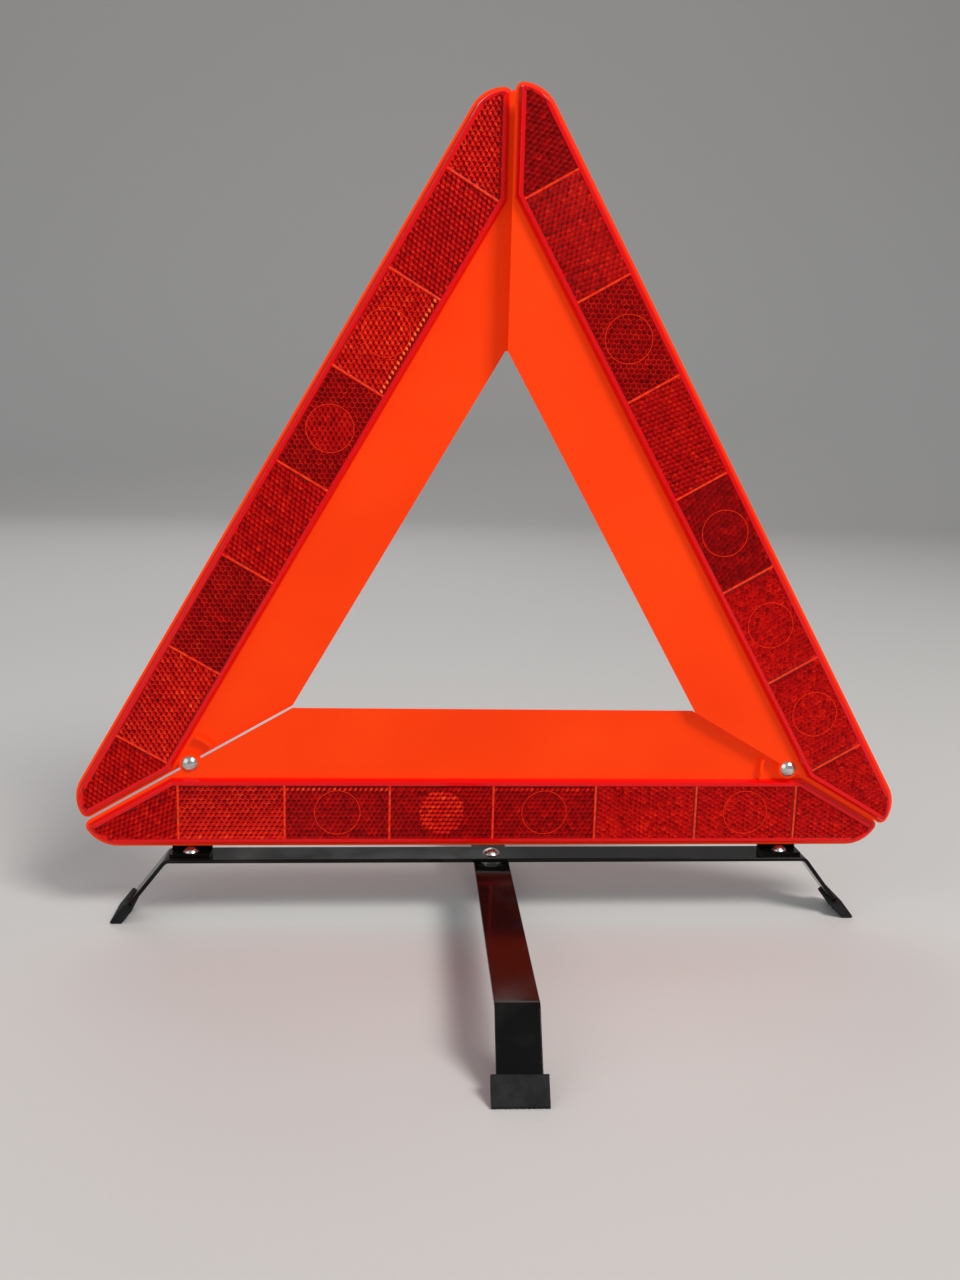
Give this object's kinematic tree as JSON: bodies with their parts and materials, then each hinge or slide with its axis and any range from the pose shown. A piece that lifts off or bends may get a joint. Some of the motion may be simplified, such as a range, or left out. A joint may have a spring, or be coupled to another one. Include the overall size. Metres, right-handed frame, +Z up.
{
  "type": "foldable emergency warning triangle",
  "caption": "Foldable warning triangle: three hinged reflector arms in red and orange on a black steel cross-stand with a swivelling leg and rubber feet.",
  "frame": {"origin": "on the ground under the middle of the base arm", "axes": "+X along the base arm to the right seen from the front, +Y to the rear, +Z up"},
  "size_m": [0.417, 0.3598, 0.4029],
  "materials": {
    "orange_sheet": "satin",
    "red_reflector": "gloss",
    "black_steel": "gloss",
    "bright_rivets": "polished",
    "rubber_feet": "matte"
  },
  "bodies": {
    "base": {"base_carrier": "orange_sheet", "base_lens_front": "red_reflector", "base_lens_rear": "red_reflector", "bracket_left": "black_steel", "bracket_right": "black_steel", "bracket_rivet_left": "bright_rivets", "bracket_rivet_right": "bright_rivets", "crossbar": "black_steel", "bar_rivet_left": "bright_rivets", "bar_rivet_right": "bright_rivets", "swivel_rivet": "bright_rivets", "swivel_washer": "bright_rivets", "bar_cap_left": "rubber_feet", "bar_cap_right": "rubber_feet", "pivot_rivet_left": "bright_rivets", "pivot_rivet_right": "bright_rivets", "pivot_washer_left": "bright_rivets", "pivot_washer_right": "bright_rivets"},
    "left_arm": {"left_carrier": "orange_sheet", "left_lens_front": "red_reflector", "left_lens_rear": "red_reflector"},
    "right_arm": {"right_carrier": "orange_sheet", "right_lens_front": "red_reflector", "right_lens_rear": "red_reflector"},
    "cross_leg": {"cross_leg": "black_steel", "cross_cap_front": "rubber_feet", "cross_cap_rear": "rubber_feet"}
  },
  "joints": [
    {"name": "left_arm_fold", "type": "hinge", "parent": "base", "child": "left_arm", "pos_m": [-0.15173, 0.003, 0.0793], "axis": [0, 1, 0], "range_deg": [0, 60]},
    {"name": "right_arm_fold", "type": "hinge", "parent": "base", "child": "right_arm", "pos_m": [0.15173, -0.003, 0.0793], "axis": [0, -1, 0], "range_deg": [0, 60]},
    {"name": "cross_leg_swivel", "type": "hinge", "parent": "base", "child": "cross_leg", "pos_m": [0, 0, 0.0281], "axis": [0, 0, 1], "range_deg": [-88.66, 91.34]}
  ]
}
